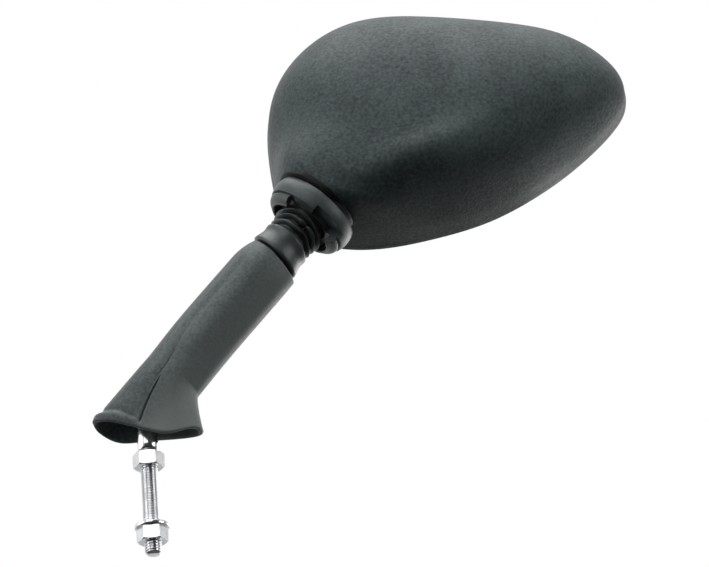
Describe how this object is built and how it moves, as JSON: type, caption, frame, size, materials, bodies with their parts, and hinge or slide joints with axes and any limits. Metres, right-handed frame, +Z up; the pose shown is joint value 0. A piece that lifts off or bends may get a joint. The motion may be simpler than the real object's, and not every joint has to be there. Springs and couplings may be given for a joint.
{
  "type": "motorcycle mirror",
  "caption": "Teardrop rear-view mirror head in a grained black casing, on a ball joint at the end of a rubber-sleeved bent stem with a threaded stud, lock nut, washer and nut.",
  "frame": {"origin": "on the stud's axis at the underside of the lock nut, where the bracket or lever clamp is gripped", "axes": "+Z up the stud towards the head, +X towards the head's narrow outer end, +Y towards the rider (the glass faces +Y)"},
  "size_m": [0.2721, 0.0628, 0.2822],
  "materials": {
    "plated_steel": "bright zinc plating",
    "spring_steel": "oiled spring steel",
    "liner_plastic": "smooth natural acetal",
    "collar_plastic": "smooth black nylon",
    "shell_plastic": "fine-grained black",
    "boot_rubber": "satin moulded rubber",
    "sleeve_rubber": "fine-grained moulded rubber",
    "mirror": "silvered convex glass",
    "pad_rubber": "soft foam rubber"
  },
  "bodies": {
    "stem": {"stem_rod": "plated_steel", "pivot_ball": "plated_steel", "lock_nut": "plated_steel", "plain_washer": "plated_steel", "mounting_nut": "plated_steel", "arm_sleeve": "sleeve_rubber", "gaiter": "boot_rubber"},
    "lower_liner": {"lower_liner": "liner_plastic"},
    "upper_liner": {"upper_liner": "liner_plastic"},
    "head": {"back_shell": "shell_plastic", "front_bezel": "shell_plastic", "mirror_glass": "mirror", "glass_pad": "pad_rubber", "socket_collar": "collar_plastic", "collar_screws": "plated_steel", "pressure_cup": "collar_plastic", "disc_springs": "spring_steel", "clamp_plate": "spring_steel", "clamp_screws": "plated_steel"}
  },
  "joints": [
    {"name": "head_swivel", "type": "hinge", "parent": "stem", "child": "lower_liner", "pos_m": [0.08326, 0, 0.12234], "axis": [0.6769, 0, 0.7361], "continuous": true},
    {"name": "head_tilt", "type": "hinge", "parent": "lower_liner", "child": "upper_liner", "pos_m": [0.08326, 0, 0.12234], "axis": [0.7361, 0, -0.6769], "range_deg": [-12, 12]},
    {"name": "head_pan", "type": "hinge", "parent": "upper_liner", "child": "head", "pos_m": [0.08326, 0, 0.12234], "axis": [0, 1, 0], "range_deg": [-10, 10]}
  ]
}
